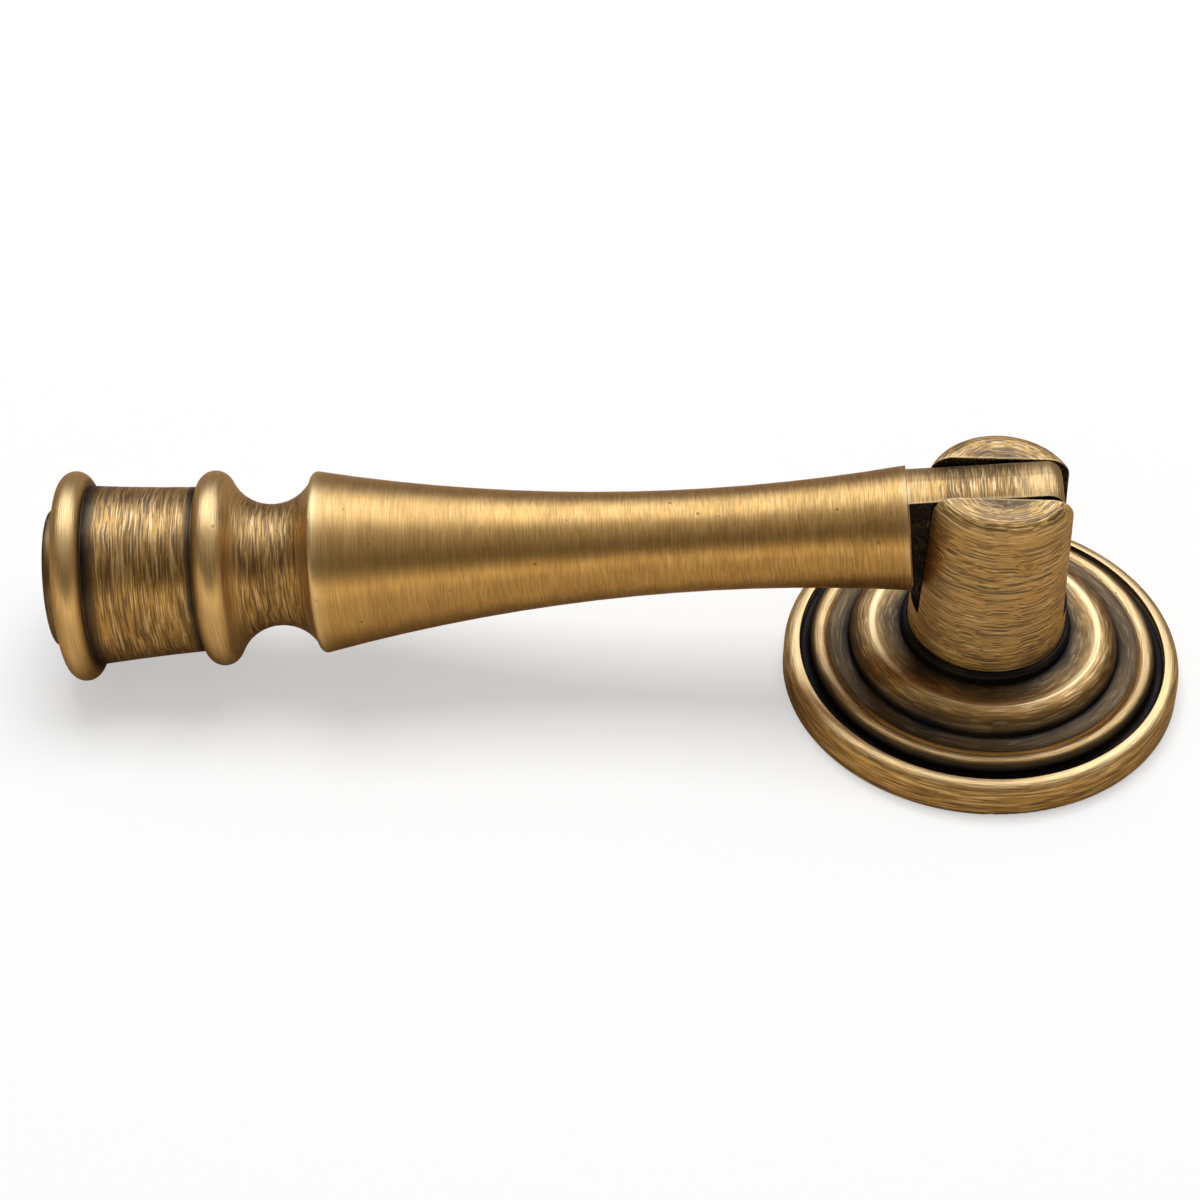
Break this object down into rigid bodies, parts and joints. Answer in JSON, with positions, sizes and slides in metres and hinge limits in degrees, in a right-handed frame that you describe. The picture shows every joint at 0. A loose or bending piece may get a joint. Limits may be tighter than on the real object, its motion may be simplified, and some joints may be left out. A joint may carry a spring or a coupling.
{
  "type": "drop pull",
  "caption": "Aged brass drop pull: a turned trumpet-shaped handle with beads swings on a pin in a slotted post, which stands on a moulded round rose.",
  "frame": {"origin": "centre of the rose's back face, on the face that the pull is fixed to", "axes": "+Z along the post, away from the fixing face; -X along the handle as it lies; +Y along the hinge pin"},
  "size_m": [0.0912, 0.032, 0.0219],
  "materials": {
    "rose_brass": "aged, brushed in circles, dark in the grooves, worn bright on the mouldings",
    "post_brass": "aged, brushed round the post",
    "pin_brass": "aged, dull",
    "handle_brass": "aged, brushed round the axis, worn bright on the beads and edges"
  },
  "bodies": {
    "base": {"rose": "rose_brass", "post": "post_brass", "hinge_pin": "pin_brass"},
    "drop": {"handle": "handle_brass"}
  },
  "joints": [
    {"name": "handle_swing", "type": "hinge", "parent": "base", "child": "drop", "pos_m": [0, 0, 0.01664], "axis": [0, 1, 0], "range_deg": [0, 193]}
  ]
}
